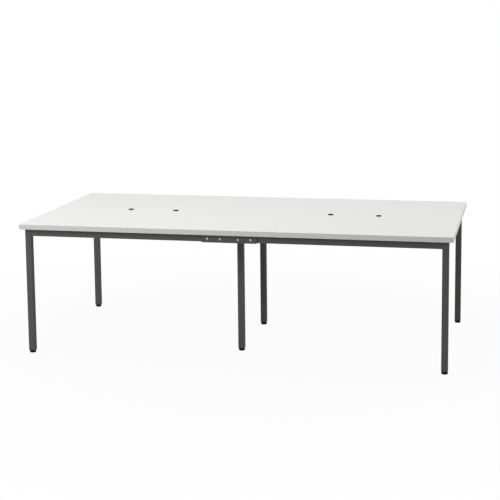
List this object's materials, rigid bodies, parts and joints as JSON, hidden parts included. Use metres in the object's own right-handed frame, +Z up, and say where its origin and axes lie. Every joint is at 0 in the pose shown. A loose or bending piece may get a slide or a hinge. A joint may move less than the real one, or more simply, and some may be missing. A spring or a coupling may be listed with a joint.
{
  "type": "coworking desk",
  "caption": "Long rectangular coworking desk: white board top with round cable holes on a dark bolted square-tube frame with levelling feet.",
  "frame": {"origin": "on the floor, under the middle of the top", "axes": "+X along the desk's length, -Y towards the front long edge, +Z up"},
  "size_m": [2.4, 1.2, 0.744],
  "materials": {
    "top_laminate": "satin near-white melamine on both faces",
    "edge_band": "matt near-white edge band",
    "frame_paint": "fine-texture dark grey powder coat",
    "zinc_steel": "bright zinc plate",
    "black_plastic": "moulded black, fine grain"
  },
  "bodies": {
    "desk": {"cable_liner_left_inner": "black_plastic", "cable_liner_left_outer": "black_plastic", "cable_liner_right_inner": "black_plastic", "cable_liner_right_outer": "black_plastic", "edge_band_back": "edge_band", "edge_band_front": "edge_band", "edge_band_left": "edge_band", "edge_band_right": "edge_band", "joining_bolts_back": "zinc_steel", "joining_bolts_front": "zinc_steel", "joining_nuts_back": "zinc_steel", "joining_nuts_front": "zinc_steel", "joining_plate_back": "frame_paint", "joining_plate_front": "frame_paint", "leg_back_left": "frame_paint", "leg_back_right": "frame_paint", "leg_front_left": "frame_paint", "leg_front_right": "frame_paint", "leg_middle_back": "frame_paint", "leg_middle_front": "frame_paint", "middle_plate_back": "frame_paint", "middle_plate_front": "frame_paint", "middle_screws_back": "zinc_steel", "middle_screws_front": "zinc_steel", "plug_back_left": "black_plastic", "plug_back_right": "black_plastic", "plug_front_left": "black_plastic", "plug_front_right": "black_plastic", "plug_middle_back": "black_plastic", "plug_middle_front": "black_plastic", "plug_nuts": "zinc_steel", "rail_back_left": "frame_paint", "rail_back_right": "frame_paint", "rail_end_left": "frame_paint", "rail_end_right": "frame_paint", "rail_front_left": "frame_paint", "rail_front_right": "frame_paint", "top_board": "top_laminate", "top_screws_back": "zinc_steel", "top_screws_end": "zinc_steel", "top_screws_front": "zinc_steel"},
    "pad_front_left": {"foot_pad_front_left": "black_plastic"},
    "stud_front_left": {"foot_stud_front_left": "zinc_steel"},
    "pad_front_right": {"foot_pad_front_right": "black_plastic"},
    "stud_front_right": {"foot_stud_front_right": "zinc_steel"},
    "pad_back_left": {"foot_pad_back_left": "black_plastic"},
    "stud_back_left": {"foot_stud_back_left": "zinc_steel"},
    "pad_back_right": {"foot_pad_back_right": "black_plastic"},
    "stud_back_right": {"foot_stud_back_right": "zinc_steel"},
    "pad_middle_front": {"foot_pad_middle_front": "black_plastic"},
    "stud_middle_front": {"foot_stud_middle_front": "zinc_steel"},
    "pad_middle_back": {"foot_pad_middle_back": "black_plastic"},
    "stud_middle_back": {"foot_stud_middle_back": "zinc_steel"}
  },
  "joints": [
    {"name": "foot_front_left_slide", "type": "slide", "parent": "desk", "child": "pad_front_left", "axis": [0, 0, -1], "range_m": [0, 0.01]},
    {"name": "foot_front_left_turn", "type": "hinge", "parent": "pad_front_left", "child": "stud_front_left", "pos_m": [-1.1575, -0.5575, 0.02], "axis": [0, 0, -1], "range_deg": [0, 2880]},
    {"name": "foot_front_right_slide", "type": "slide", "parent": "desk", "child": "pad_front_right", "axis": [0, 0, -1], "range_m": [0, 0.01]},
    {"name": "foot_front_right_turn", "type": "hinge", "parent": "pad_front_right", "child": "stud_front_right", "pos_m": [1.1575, -0.5575, 0.02], "axis": [0, 0, -1], "range_deg": [0, 2880]},
    {"name": "foot_back_left_slide", "type": "slide", "parent": "desk", "child": "pad_back_left", "axis": [0, 0, -1], "range_m": [0, 0.01]},
    {"name": "foot_back_left_turn", "type": "hinge", "parent": "pad_back_left", "child": "stud_back_left", "pos_m": [-1.1575, 0.5575, 0.02], "axis": [0, 0, -1], "range_deg": [0, 2880]},
    {"name": "foot_back_right_slide", "type": "slide", "parent": "desk", "child": "pad_back_right", "axis": [0, 0, -1], "range_m": [0, 0.01]},
    {"name": "foot_back_right_turn", "type": "hinge", "parent": "pad_back_right", "child": "stud_back_right", "pos_m": [1.1575, 0.5575, 0.02], "axis": [0, 0, -1], "range_deg": [0, 2880]},
    {"name": "foot_middle_front_slide", "type": "slide", "parent": "desk", "child": "pad_middle_front", "axis": [0, 0, -1], "range_m": [0, 0.01]},
    {"name": "foot_middle_front_turn", "type": "hinge", "parent": "pad_middle_front", "child": "stud_middle_front", "pos_m": [0, -0.3, 0.02], "axis": [0, 0, -1], "range_deg": [0, 2880]},
    {"name": "foot_middle_back_slide", "type": "slide", "parent": "desk", "child": "pad_middle_back", "axis": [0, 0, -1], "range_m": [0, 0.01]},
    {"name": "foot_middle_back_turn", "type": "hinge", "parent": "pad_middle_back", "child": "stud_middle_back", "pos_m": [0, 0.3, 0.02], "axis": [0, 0, -1], "range_deg": [0, 2880]}
  ],
  "couplings": [
    {"joint": "foot_front_left_turn", "follows": "foot_front_left_slide", "rad_per_m": 5026.5},
    {"joint": "foot_front_right_turn", "follows": "foot_front_right_slide", "rad_per_m": 5026.5},
    {"joint": "foot_back_left_turn", "follows": "foot_back_left_slide", "rad_per_m": 5026.5},
    {"joint": "foot_back_right_turn", "follows": "foot_back_right_slide", "rad_per_m": 5026.5},
    {"joint": "foot_middle_front_turn", "follows": "foot_middle_front_slide", "rad_per_m": 5026.5},
    {"joint": "foot_middle_back_turn", "follows": "foot_middle_back_slide", "rad_per_m": 5026.5}
  ]
}
